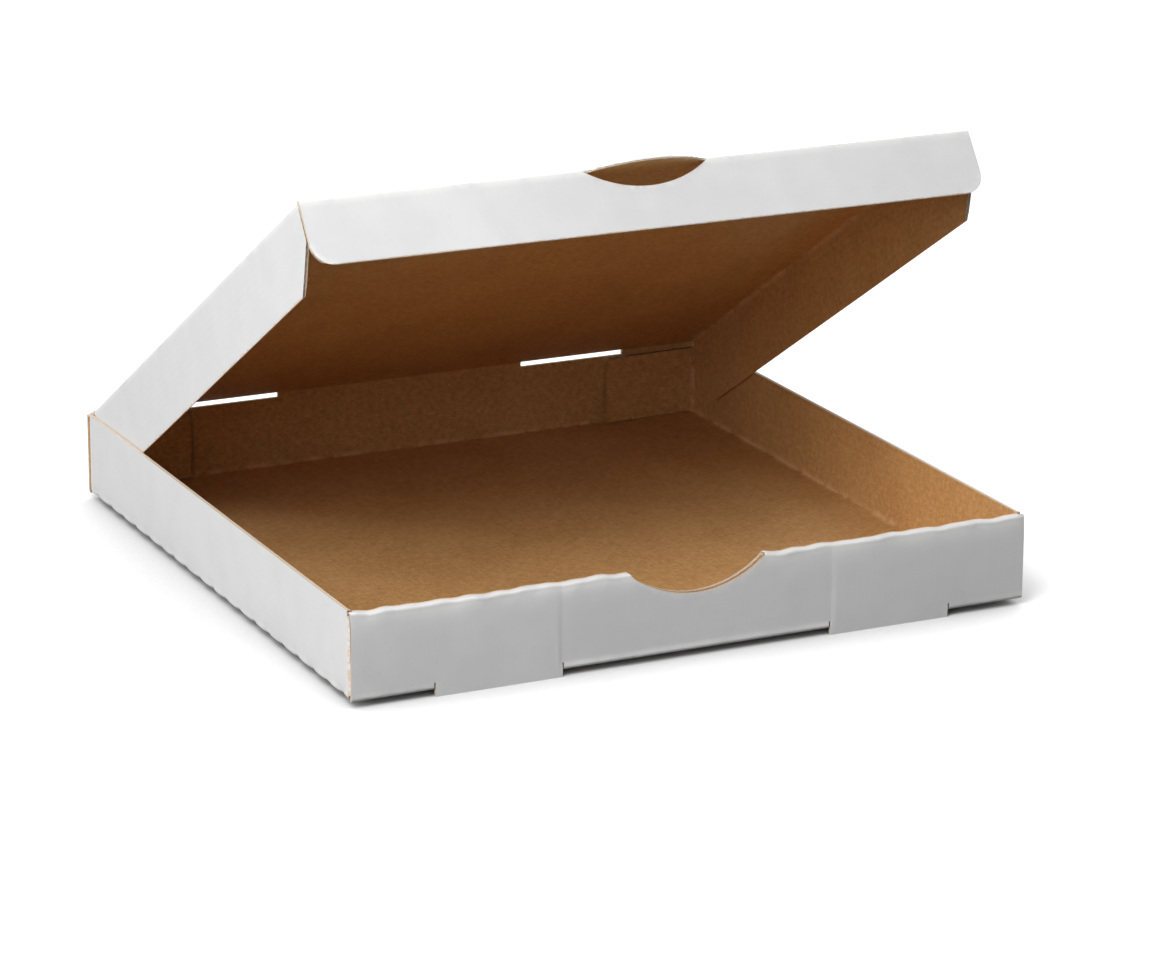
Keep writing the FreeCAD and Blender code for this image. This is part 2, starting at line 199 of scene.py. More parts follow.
def whiteLiner():
    white = {
        "dull": (0.790, 0.791, 0.800),
        "bright": (0.842, 0.842, 0.840),
        "grain": (0.66, 0.65, 0.63),
        "fold": (0.93, 0.925, 0.91),
        "bare": (0.78, 0.58, 0.38),  # the board below, where the white paper has cracked
        "scuff": (0.60, 0.585, 0.56),
        "relief": 0.00006,
    }
    paint = Paint(bpy.data.materials.new("white_liner"))
    coords = paint.node("ShaderNodeTexCoord", None, None, 3)
    cloud = paint.noise(coords, 14, 3)
    blotch = paint.noise(coords, 55, 4, 0.6)
    grain = paint.noise(coords, 1400, 3, 0.6)
    fold = paint.attribute("fold")
    wave = fluteWave(paint)
    tone = paint.between(cloud * 0.6 + blotch * 0.4, 0.36, 0.62)
    colour = paint.mix(tone, white["dull"], white["bright"])
    colour = paint.mix(paint.between(grain, 0.58, 0.75) * 0.12, colour, white["grain"])
    colour = paint.mix(fold * paint.between(blotch, 0.30, 0.55) * 0.8, colour, white["fold"])
    torn = paint.noise(coords, 420, 3, 0.65)
    crack = paint.between(paint.attribute("crack") * (0.35 + torn), 0.42, 0.62)
    colour = paint.mix(crack * 0.9, colour, white["bare"])
    scuff = paint.between(paint.noise(paint.stretched(coords, (1, 1, 0.35)), 240, 3, 0.7), 0.66, 0.74)
    colour = paint.mix(scuff * 0.10, colour, white["scuff"])
    rough = 0.50 + 0.12 * tone - 0.06 * scuff
    height = wave * 0.09 + grain * 0.22 + blotch * 1.3 - crack * 0.8
    return paint.surface(Base_Color=colour, Roughness=rough, Normal=paint.bump(height, white["relief"]))


def kraftLiner():
    kraft = {
        "dark": (0.49, 0.258, 0.094),
        "light": (0.70, 0.415, 0.176),
        "darkFleck": (0.30, 0.13, 0.045),
        "paleFleck": (0.82, 0.52, 0.28),
        "flute": (0.42, 0.20, 0.08),
        "bead": (0.80, 0.52, 0.28),
        "gloss": 0.05,
        "relief": 0.00007,
    }
    paint = Paint(bpy.data.materials.new("kraft_liner"))
    coords = paint.node("ShaderNodeTexCoord", None, None, 3)
    cloud = paint.noise(coords, 22, 3)
    fibre = paint.noise(paint.stretched(coords, (0.22, 1, 1)), 1500, 4, 0.65)
    fleck = paint.noise(paint.stretched(coords, (0.4, 1, 1)), 700, 2, 0.5)
    pulp = paint.noise(coords, 330, 4, 0.7)
    fold = paint.attribute("fold")
    wave = fluteWave(paint)
    speck = paint.noise(coords, 1100, 2, 0.6)
    tone = paint.between(fibre * 0.35 + pulp * 0.30 + speck * 0.20 + cloud * 0.15, 0.38, 0.62)
    colour = paint.mix(tone, kraft["dark"], kraft["light"])
    colour = paint.mix(paint.between(fleck, 0.64, 0.74) * 0.3, colour, kraft["darkFleck"])
    colour = paint.mix(paint.between(fleck, 0.36, 0.27) * 0.4, colour, kraft["paleFleck"])
    colour = paint.mix(paint.between(wave, -1, 1) * 0.07, colour, kraft["flute"])
    # painted highlight: paler along the beads inside the folds, as if the raised bead caught the light
    bead = fold * paint.between(paint.noise(coords, 90, 3, 0.6), 0.42, 0.60)
    colour = paint.mix(bead * 0.6, colour, kraft["bead"])
    height = wave * 0.22 + fibre * 0.35 + pulp * 0.45 + speck * 0.2
    rough = 0.44 + 0.14 * tone
    return paint.surface(Base_Color=colour, Roughness=rough, Specular_IOR_Level=kraft["gloss"],
                         Normal=paint.bump(height, kraft["relief"]))


def cutEdge():
    # liner, flute and liner again, seen end-on where the flutes are cut across, with painted shade in
    # the open flutes
    cut = {
        "dark": (0.80, 0.66, 0.50),
        "light": (0.91, 0.82, 0.70),
        "whiteRim": (0.84, 0.78, 0.70),
        "hollowShade": (0.45, 0.29, 0.17),
        "deepShade": (0.26, 0.14, 0.06),
        "rough": 0.85,
        "gloss": 0.2,
        "relief": 0.00014,
    }
    paint = Paint(bpy.data.materials.new("cut_edge"))
    coords = paint.node("ShaderNodeTexCoord", None, None, 3)
    across = paint.attribute("across")
    torn = paint.noise(coords, 900, 3, 0.7)
    wander = (torn - 0.5) * 0.25
    away = paint.maths("ABSOLUTE", across - (0.5 + 0.30 * fluteWave(paint)) + wander)
    ribbon = paint.between(away, 0.26, 0.10)
    # painted shade: the hollows of the open flutes, between the fluted paper's ribbon and the liners,
    # are painted darker as if shade fell into them; the same mask sinks them in the bump
    hollowShade = (1 - ribbon) * paint.between(across, 0.14, 0.24) * paint.between(across, 0.88, 0.78)
    colour = paint.mix(torn, cut["dark"], cut["light"])
    colour = paint.mix(paint.between(across, 0.07, 0.03), colour, cut["whiteRim"])
    colour = paint.mix(hollowShade * 0.25, colour, cut["hollowShade"])
    # painted shade: the groove floor inside the open flutes is painted dark as if in shadow
    colour = paint.mix(paint.attribute("deepShade") * 0.35, colour, cut["deepShade"])
    height = torn * 0.5 - hollowShade
    return paint.surface(Base_Color=colour, Roughness=cut["rough"], Specular_IOR_Level=cut["gloss"],
                         Normal=paint.bump(height, cut["relief"]))


def smooth(value, low, high):
    share = min(1, max(0, (value - low) / (high - low)))
    return share * share * (3 - 2 * share)


def ripple(x, y, z, size):
    return noise.noise(Vector((x, y, z)) / size)


def weldedCopy(nodeName, place):
    # the node's shell in its own frame, with whole flat faces
    shell = bmesh.new()
    shell.from_mesh(frame["nodes"][nodeName].data)
    shell.transform(place.inverted())
    bmesh.ops.remove_doubles(shell, verts=shell.verts, dist=board["weld"])
    bmesh.ops.dissolve_limit(shell, angle_limit=board["flatAngle"], verts=shell.verts, edges=shell.edges)
    return shell


def cutThrough(shell, at, normal):
    bmesh.ops.bisect_plane(shell, geom=[*shell.verts, *shell.edges, *shell.faces], dist=board["weld"],
                           plane_co=at, plane_no=normal)


def cutOff(shell, at, normal, behind=-1):
    # drops what lies beyond the plane and behind the given y, and closes the cut
    cutThrough(shell, at, normal)
    centres = [(face, face.calc_center_median()) for face in shell.faces]
    beyond = [face for face, centre in centres
              if (centre - Vector(at)).dot(Vector(normal)) > board["weld"] and centre.y > behind]
    bmesh.ops.delete(shell, geom=beyond, context="FACES")
    bmesh.ops.holes_fill(shell, edges=[edge for edge in shell.edges if edge.is_boundary], sides=0)


def reach(shell, point):
    # every face that joins the one nearest the point without a sharp edge between
    shell.faces.ensure_lookup_table()
    nearest = shell.faces[BVHTree.FromBMesh(shell).find_nearest(point)[2]]
    found = {nearest}
    queue = [nearest]
    while queue:
        for edge in queue.pop().edges:
            if len(edge.link_faces) == 2 and edge.calc_face_angle() < board["sharpAngle"]:
                fresh = [face for face in edge.link_faces if face not in found]
                found.update(fresh)
                queue.extend(fresh)
    return found


def paintSides(shell, outside, inside):
    # white liner 0, kraft liner 1, cut edge 2
    for face in shell.faces:
        face.material_index = 2
    for number, point in enumerate((outside, inside)):
        faces = reach(shell, point)
        print(f"liner {number}: {len(faces)} faces, {sum(face.calc_area() for face in faces):.4f} m2")
        for face in faces:
            face.material_index = number


def cutCells(shell, beads):
    # a regular net of cells, and loops along the folds for their beads
    for axis in range(3):
        normal = [float(axis == other) for other in range(3)]
        places = [vert.co[axis] for vert in shell.verts]
        steps = range(math.ceil(min(places) / board["cell"]), math.ceil(max(places) / board["cell"]))
        for place in [step * board["cell"] for step in steps] + beads[axis]:
            cutThrough(shell, [part * place for part in normal], normal)


def nearFolds(shell):
    # 1 on a fold, fading over the bead
    folds = [vert for vert in shell.verts
             if any(board["foldAngle"] < edge.calc_face_angle(0) < board["sharpAngle"]
                    for edge in vert.link_edges)]
    tree = kdtree.KDTree(len(folds))
    for number, vert in enumerate(folds):
        tree.insert(vert.co, number)
    tree.balance()
    return [1 - smooth(tree.find(vert.co)[2], board["foldCore"], 2 * board["beadWidth"])
            for vert in shell.verts]


def acrossBoard(shell):
    # 0 on the white liner, 1 on the kraft liner, for the cut edges between them
    shell.verts.index_update()
    points = [vert.co.copy() for vert in shell.verts]
    liners = []
    for number in (0, 1):
        rings = [[vert.index for vert in face.verts]
                 for face in shell.faces if face.material_index == number]
        liners.append(BVHTree.FromPolygons(points, rings))
    shares = []
    for vert in shell.verts:
        if any(face.material_index == 2 for face in vert.link_faces):
            white, kraft = (liner.find_nearest(vert.co)[3] for liner in liners)
            shares.append(white / max(white + kraft, board["weld"]))
        else:
            shares.append(0.5)
    return shares


def wholeEdges(shell):
    # the cut edges stay in one piece from liner to liner
    shares = acrossBoard(shell)
    inside = [board["rim"] < share < 1 - board["rim"] for share in shares]
    middle = [edge for edge in shell.edges
              if all(inside[vert.index] for vert in edge.verts)
              and all(face.material_index == 2 for face in edge.link_faces)]
    bmesh.ops.dissolve_edges(shell, edges=middle, use_verts=True)


def addPiece(name, mesh, materials):
    for material in materials:
        mesh.materials.append(material)
    mesh.shade_smooth()
    mesh.set_sharp_from_angle(angle=board["sharpAngle"])
    piece = bpy.data.objects.new(name, mesh)
    bpy.context.scene.collection.objects.link(piece)
    print(f"{name}: {len(mesh.polygons)} faces")
    return piece


# Fluted paper in the open edges, in metres
fluting = {
    "liner": 0.00024,  # thickness of a liner
    "wall": 0.00002,
    "depth": 0.0007,  # how deep one sees into a flute
    "recess": 0.00012,
    "paper": 0.00011,  # half the thickness of the fluted paper
    "step": 0.0003,
    "rung": 0.9,  # an edge that crosses this share of the thickness is a rung
    "slope": 0.6,  # a cut nearer than this to the flutes' own direction shows none
}


def openFlutes(shell, flute, across, place):
    # Where a cut runs across the flutes, their ends are open: this makes the groove between the
    # liners and returns a line along its middle for the fluted paper.
    lines = bmesh.new()
    side = lines.verts.layers.float_vector.new("side")
    lineFlute = lines.verts.layers.float.new("flute")
    room = 1 - fluting["liner"] / board["thick"] * 2
    middles = {}
    ends = []
    for face in shell.faces:
        rungs = [edge for edge in face.edges
                 if abs(edge.verts[0][across] - edge.verts[1][across]) > fluting["rung"]]
        if face.material_index != 2 or len(rungs) != 2:
            continue
        centres = [(edge.verts[0].co + edge.verts[1].co) / 2 for edge in rungs]
        marks = [edge.verts[0][flute] for edge in rungs]
        if abs(marks[0] - marks[1]) < fluting["slope"] * (centres[0] - centres[1]).length:
            continue
        ends.append(face)
        for edge, centre, mark in zip(rungs, centres, marks):
            if edge not in middles:
                middles[edge] = lines.verts.new(centre - fluting["recess"] * face.normal)
                middles[edge][side] = (edge.verts[1].co - centre) * room
                if edge.verts[1][across] < 0.5:
                    middles[edge][side] = -middles[edge][side]
                middles[edge][lineFlute] = mark
        lines.edges.new([middles[edge] for edge in rungs])
    # marks the groove floor, which the cut edge's material paints dark as shade
    deepShade = shell.verts.layers.float.new("deepShade")
    for thickness, depth in ((fluting["liner"], 0), (fluting["wall"], -fluting["depth"])):
        bmesh.ops.inset_region(shell, faces=ends, thickness=thickness, depth=depth,
                               use_even_offset=False, use_boundary=True, use_interpolate=True)
    for vert in {vert for face in ends for vert in face.verts}:
        vert[deepShade] = 1
    mesh = bpy.data.meshes.new("flute_lines")
    lines.to_mesh(mesh)
    lines.free()
    for vector in mesh.attributes["side"].data:
        vector.vector = place.to_3x3() @ vector.vector
    mesh.transform(place)
    return mesh


def flutingNodes(material):
    # waves a line from liner to liner once for each flute, and gives it a thickness
    tree = bpy.data.node_groups.new("fluting", "GeometryNodeTree")
    tree.interface.new_socket("Lines", in_out="INPUT", socket_type="NodeSocketGeometry")
    for name in ("Pitch", "Step", "Paper"):
        tree.interface.new_socket(name, in_out="INPUT", socket_type="NodeSocketFloat")
    tree.interface.new_socket("Fluting", in_out="OUTPUT", socket_type="NodeSocketGeometry")
    nodes = Nodes(tree)
    lines, pitch, step, paper = (nodes.node("NodeGroupInput", None, None, number) for number in range(4))
    curve = nodes.node("GeometryNodeMeshToCurve", None, {"Mesh": lines})
    curve = nodes.node("GeometryNodeResampleCurve", {"mode": "LENGTH"}, {"Curve": curve, "Length": step})
    mark = nodes.node("GeometryNodeInputNamedAttribute", {"data_type": "FLOAT"}, {"Name": "flute"})
    side = nodes.node("GeometryNodeInputNamedAttribute", {"data_type": "FLOAT_VECTOR"}, {"Name": "side"})
    wave = nodes.maths("SINE", mark / pitch * (2 * math.pi))
    shift = nodes.node("ShaderNodeVectorMath", {"operation": "SCALE"}, {0: side, "Scale": wave})
    curve = nodes.node("GeometryNodeSetPosition", None, {"Geometry": curve, "Offset": shift})
    edge = nodes.node("GeometryNodeCurvePrimitiveCircle", None, {"Resolution": 4, "Radius": paper})
    mesh = nodes.node("GeometryNodeCurveToMesh", None,
                      {"Curve": curve, "Profile Curve": edge, "Fill Caps": True})
    mesh = nodes.node("GeometryNodeRealizeInstances", None, {"Geometry": mesh})
    mesh = nodes.node("GeometryNodeSetMaterial", None, {"Geometry": mesh, "Material": material})
    nodes.node("NodeGroupOutput", None, {"Fluting": mesh})
    return tree


def makeFluting(name, lines, material):
    sizes = {"Pitch": board["flutePitch"], "Step": fluting["step"], "Paper": fluting["paper"]}
    piece = bpy.data.objects.new("flute_lines", lines)
    bpy.context.scene.collection.objects.link(piece)
    modifier = piece.modifiers.new("fluting", "NODES")
    modifier.node_group = flutingNodes(material)
    for socket in modifier.node_group.interface.items_tree:
        if socket.name in sizes:
            modifier[socket.identifier] = sizes[socket.name]
    bpy.context.view_layer.update()
    seen = piece.evaluated_get(bpy.context.evaluated_depsgraph_get())
    mesh = bpy.data.meshes.new_from_object(seen)
    mesh.name = name
    piece.modifiers.remove(modifier)
    bpy.data.objects.remove(piece)
    return addPiece(name, mesh, [])


def finishBoard(name, shell, place, fluteAt, crackAt, wear, materials, fluted=True):
    # writes what the materials read, wears the shape and makes the piece
    wholeEdges(shell)
    values = {"fold": nearFolds(shell), "across": acrossBoard(shell),
              "flute": [fluteAt(vert.co) for vert in shell.verts],
              "crack": [crackAt(vert.co) for vert in shell.verts]}
    layers = {attribute: shell.verts.layers.float.new(attribute) for attribute in values}
    shell.normal_update()
    worn = []
    for number, vert in enumerate(shell.verts):
        for attribute, numbers in values.items():
            vert[layers[attribute]] = numbers[number]
        kraft = all(face.material_index == 1 for face in vert.link_faces)
        lumpy = 0.8 + 0.4 * ripple(*vert.co, board["beadRipple"])
        bead = kraft * board["beadHeight"] * values["fold"][number] * lumpy
        worn.append(wear(vert.co, values["across"][number]) + bead * vert.normal)
    for vert, point in zip(shell.verts, worn):
        vert.co = point
    shell.normal_update()
    lines = openFlutes(shell, layers["flute"], layers["across"], place) if fluted else None
    mesh = bpy.data.meshes.new(name)
    shell.to_mesh(mesh)
    shell.free()
    mesh.transform(place)
    pieces = [addPiece(f"{name}_board", mesh, materials)]
    if fluted:
        pieces.append(makeFluting(f"{name}_fluting", lines, materials[2]))
    return pieces


def makeTray(materials):
    tray = {
        "wallCut": 0.03945,  # the back wall ends here and the crease goes on
        "crush": 0.0013,  # how deep the rolled top of the front wall is crushed
        "crushFrom": 0.031,
        "crushEnds": 0.012,  # it is crushed less this near to its ends
        "lumps": (0.020, 0.0085),  # their lengths along the front wall
        "square": 4.2,  # the roll is pressed flat on top: 2 would leave it round
        "dent": 0.0010,
        "dentFrom": 0.034,
        "dentTo": 0.001,  # full this far below the top
        "dents": (0.016, 0.007),
        "crackTurn": 62,  # where the paper has cracked, in degrees round the roll from its inner side
        "crackSpread": (8, 24),  # full within the first angle, none past the second
        "bottomCrack": 0.62,
        "bottomRange": (0.0033, 0.0042),  # heights between which it fades
        "cornerCrack": 0.6,
        "scallop": 0.0007,  # bumps of the side folds between the nicks of the crease
        "scallopLength": 0.0170,
        "scallopRange": (0.0045, 0.009),  # full below the first height, none above the second
        "sideBow": 0.0001,
        "bowRange": (0.010, 0.03),
        "flapEnd": 0.068,  # the front dust flaps end this far from the middle
        "footFrom": 0.0655,
        "footTo": 0.1265,
        "flapStep": 0.0005,  # the front wall sinks in where the flaps behind it end
        "slackRange": (0.004, 0.007),  # heights over which it comes free of the bottom edge
        "flapRidge": 0.00028,
        "ridgeHalf": 0.0015,
        "ridgeRange": (0.008, 0.024),
        "rightRidge": 0.3,  # the right-hand one shows less
        "frontBow": 0.0003,
        "spring": 0.0024,  # the rear dust flaps' free ends stand off the back wall
        "springReach": 0.050,
        "springCurve": 1.3,
        "freeEnd": 0.113,
        "freeSlant": 0.0008,  # the brown paper reaches over the cut edge there
        "sag": 0.0005,
        "sagLength": 0.09,
        "sagSides": (0.004, 0.05),  # distances from the walls over which the floor comes free
        "sagEnds": (0.008, 0.05),
    }
    floorEdge = halfWidth - foldOuter
    floorTop = board["footDrop"] + board["thick"]

    shell = weldedCopy("tray", Matrix.Identity(4))
    cutOff(shell, (0, 0, tray["wallCut"]), (0, 0, 1), halfDepth - board["thick"] - board["weld"])
    paintSides(shell, (0, 0, 0), (0, 0, 0.02))
    inner = halfWidth - board["thick"]
    level = floorTop + board["foldInner"]
    bead = board["beadWidth"]
    cutCells(shell, [
        [side * place for side in (1, -1) for place in (
            inner - board["foldInner"] - bead, inner - board["foldInner"] - 2 * bead,
            tray["flapEnd"] - tray["ridgeHalf"], tray["flapEnd"], tray["flapEnd"] + tray["ridgeHalf"])],
        [side * (inner - board["foldInner"] - run) for side in (1, -1) for run in (bead, 2 * bead)],
        [level + bead, level + 2 * bead],
    ])

    def fluteAt(point):
        # the flutes run from front to back, and level along the side walls and their flaps
        beside = abs(point.x) > floorEdge and abs(point.y) < halfDepth - foldOuter
        flap = (halfDepth - frontLayers + board["thick"] < abs(point.y) < halfDepth - board["thick"]
                and point.z > level)
        return abs(point.x) + (point.z - board["footDrop"] if beside or flap else 0)

    flapY = halfDepth - 2 * board["thick"] - 2 * board["layerGap"]
    rollY = trayLow.y + frontLayers / 2
    rollZ = trayHigh.z - frontLayers / 2

    def crackAt(point):
        # the paper has cracked along the rolled top, and frays a little along the bottom edge
        if point.y > frontInnerY + board["layerGap"]:
            return 0
        if abs(point.x) > floorEdge and point.y > trayLow.y + board["thick"] + board["weld"]:
            return tray["cornerCrack"]
        if point.z < rollZ:
            foot = tray["footFrom"] < abs(point.x) < tray["footTo"]
            return 0 if foot else tray["bottomCrack"] * (1 - smooth(point.z, *tray["bottomRange"]))
        turn = math.degrees(math.atan2(point.z - rollZ, point.y - rollY))
        return 1 - smooth(abs(turn - tray["crackTurn"]), *tray["crackSpread"])

    def wear(point, across):
        x, y, z = point
        moved = point.copy()
        inward = -math.copysign(1, x)
        # the rolled top of the front wall is pressed flat and lumpy
        if y < frontInnerY + board["layerGap"]:
            if z > rollZ:
                turn = math.atan2(z - rollZ, y - rollY)
                power = tray["square"]
                fuller = (abs(math.cos(turn)) ** power + abs(math.sin(turn)) ** power) ** (-1 / power)
                moved.y = rollY + (y - rollY) * fuller
                moved.z = rollZ + (z - rollZ) * fuller
            high = smooth(z, tray["crushFrom"], trayHigh.z)
            long, short = tray["lumps"]
            lump = 0.5 + 0.5 * ripple(x, 0, 0, long) + 0.8 * ripple(x, 5, 0, short)
            ends = smooth(halfWidth - abs(x), 0, tray["crushEnds"])
            moved.z -= tray["crush"] * high * max(0, lump) * ends
            long, short = tray["dents"]
            dent = 0.5 + 0.5 * ripple(x, 0, 2 * z, long) + 0.4 * ripple(x, 9, 0, short)
            high = smooth(z, tray["dentFrom"], trayHigh.z - tray["dentTo"])
            moved.y += tray["dent"] * high * max(0, dent)
            if y < trayLow.y + board["thick"] + board["weld"]:
                flat = 1 - smooth(abs(x), tray["flapEnd"] - tray["ridgeHalf"], tray["flapEnd"])
                slack = (0.6 + 0.4 * ripple(x, 3, z, 0.035)) * smooth(z, *tray["slackRange"])
                moved.y += tray["flapStep"] * flat * slack
                ridge = 1 - smooth(abs(abs(x) - tray["flapEnd"]), 0, tray["ridgeHalf"])
                fade = 1 - smooth(z, *tray["ridgeRange"])
                side = 1 if x < 0 else tray["rightRidge"]
                moved.y -= tray["flapRidge"] * ridge * slack * fade * side
                moved.y += tray["frontBow"] * (0.5 + 0.5 * ripple(x, 7, z, 0.045))
        # the side folds are scalloped between the nicks, but not inside, where the shut lid comes close
        if abs(x) > floorEdge - 2 * bead and abs(y) < halfDepth - foldOuter:
            inside = abs(x) < inner + board["weld"] and z > floorTop - board["weld"]
            low = (1 - smooth(z, *tray["scallopRange"])) * (0 if inside else 1)
            bump = abs(math.sin(math.pi * y / tray["scallopLength"] + 0.6 * ripple(0, y, 0, 0.05)))
            moved.x += inward * tray["scallop"] * low * (1 - bump) ** 2
            moved.z += 0.9 * tray["scallop"] * low * (1 - bump) ** 2
            bow = 0.5 + 0.5 * ripple(0, y, z, 0.06)
            moved.x += inward * tray["sideBow"] * smooth(z, *tray["bowRange"]) * bow
        # the rear dust flaps spring off the back wall
        behindFlap = halfDepth - board["thick"] - board["layerGap"] / 2
        if z > level and flapY < y < behindFlap and abs(x) < floorEdge:
            away = (floorEdge - abs(x)) / tray["springReach"]
            moved.y -= tray["spring"] * away ** tray["springCurve"]
            if abs(x) < tray["freeEnd"] + 10 * board["weld"]:
                moved.x += inward * tray["freeSlant"] * across
        # the floor isn't quite flat
        if z < level:
            free = smooth(halfWidth - abs(x), *tray["sagSides"])
            free *= smooth(halfDepth - abs(y), *tray["sagEnds"])
            moved.z += tray["sag"] * free * ripple(x, y, 3, tray["sagLength"])
        return moved

    return finishBoard("tray", shell, Matrix.Identity(4), fluteAt, crackAt, wear, materials)


def makeLid(materials):
    lid = {
        "rearCut": -0.00155,  # the panel starts here and the crease goes on
        "wave": 0.0005,
        "waveLength": 0.11,
        "waveSides": (0.002, 0.04),  # distances from the edges over which the panel comes free
        "waveRear": (0.004, 0.05),
        "waveFront": (0.001, 0.05),
        "curl": 0.0006,
        "curlRange": (0.004, 0.03),
        "earFrom": -0.0045,  # behind this the panel reaches out to the side walls
        "earWidth": 0.0017,
        "flapBack": 0.00045,  # the side flaps' rear edges go back to meet it
        "slant": 0.0007,  # of the flaps' cut edges, over the board's thickness
        "slantFrom": 0.002,  # the slant starts this far above the edge
        "slantFull": 0.001,
        "crushed": 0.0009,  # the tab's edge is pressed thinner by this
        "fray": 0.0005,  # how far the white paper frays from the flaps' cut edges
        "frayed": 0.6,
    }
    shell = weldedCopy("lid", lidPlace)
    cutOff(shell, (0, lid["rearCut"], 0), (0, 1, 0))
    paintSides(shell, (0, -0.15, 0.05), (0, -0.15, -0.05))
    half = board["thick"] / 2
    sideX = max(vert.co.x for vert in shell.verts)
    foldY = min(vert.co.y for vert in shell.verts
                if vert.co.z > half - board["weld"] and vert.co.x > sideX / 2)
    inner = sideX - board["thick"]
    panelEdge = sideX - foldOuter
    flapRear = max(vert.co.y for vert in shell.verts if vert.co.x > panelEdge + board["foldInner"])
    flapLow = min(vert.co.z for vert in shell.verts if vert.co.y < foldY)
    sideLow = min(vert.co.z for vert in shell.verts if abs(vert.co.x) > inner and vert.co.y > foldY)
    bead = board["beadWidth"]
    lines = [side * (panelEdge - run) for side in (1, -1) for run in (bead, 2 * bead)]
    below = -half - board["foldInner"]
    cutCells(shell, [lines, [lid["earFrom"], *(foldY + run for run in (bead, 2 * bead))],
                     [below - bead, below - 2 * bead,
                      *(low + lid["fray"] * share for low in (flapLow, sideLow) for share in (1, 1.6))]])

    def crackAt(point):
        low = flapLow if point.y < foldY else sideLow
        return lid["frayed"] * (1 - smooth(point.z - low, lid["fray"], 1.5 * lid["fray"]))

    def fluteAt(point):
        beside = abs(point.x) > inner - board["weld"] and point.y > foldY
        return abs(point.x) + (-point.z if beside else 0)

    def wear(point, across):
        x, y, z = point
        moved = point.copy()
        panel = smooth(sideX - abs(x), *lid["waveSides"]) * smooth(-y, *lid["waveRear"])
        panel *= smooth(y - foldY, *lid["waveFront"])
        moved.z += lid["wave"] * panel * (ripple(x, y, 8, lid["waveLength"]) - 0.3)
        if y > lid["earFrom"] - board["weld"] and abs(x) > panelEdge - board["weld"]:
            moved.x += math.copysign(lid["earWidth"], x)
        if y < foldY - board["weld"] and z > half - board["weld"] and across < board["rim"]:
            moved.z -= lid["crushed"]
        if abs(y - flapRear) < board["weld"] and abs(x) > panelEdge + board["weld"]:
            moved.y += lid["flapBack"]
        if z < below:
            hang = smooth(-z, *lid["curlRange"])
            if y < foldY:
                moved.y += lid["curl"] * hang * (0.5 + 0.5 * ripple(x, 2, 0, 0.06))
                near = smooth(flapLow + lid["slantFrom"] - z, 0, lid["slantFull"])
                moved.z += lid["slant"] * across * near
            elif abs(x) > inner - board["weld"]:
                moved.x -= math.copysign(lid["curl"], x) * hang * (0.4 + 0.4 * ripple(0, y, z, 0.07))
                slant = across if x < 0 else 1 - across  # both flaps' edges slant to the right
                near = smooth(sideLow + lid["slantFrom"] - z, 0, lid["slantFull"])
                moved.z += lid["slant"] * slant * near
        return moved

    return finishBoard("lid", shell, lidPlace, fluteAt, crackAt, wear, materials)


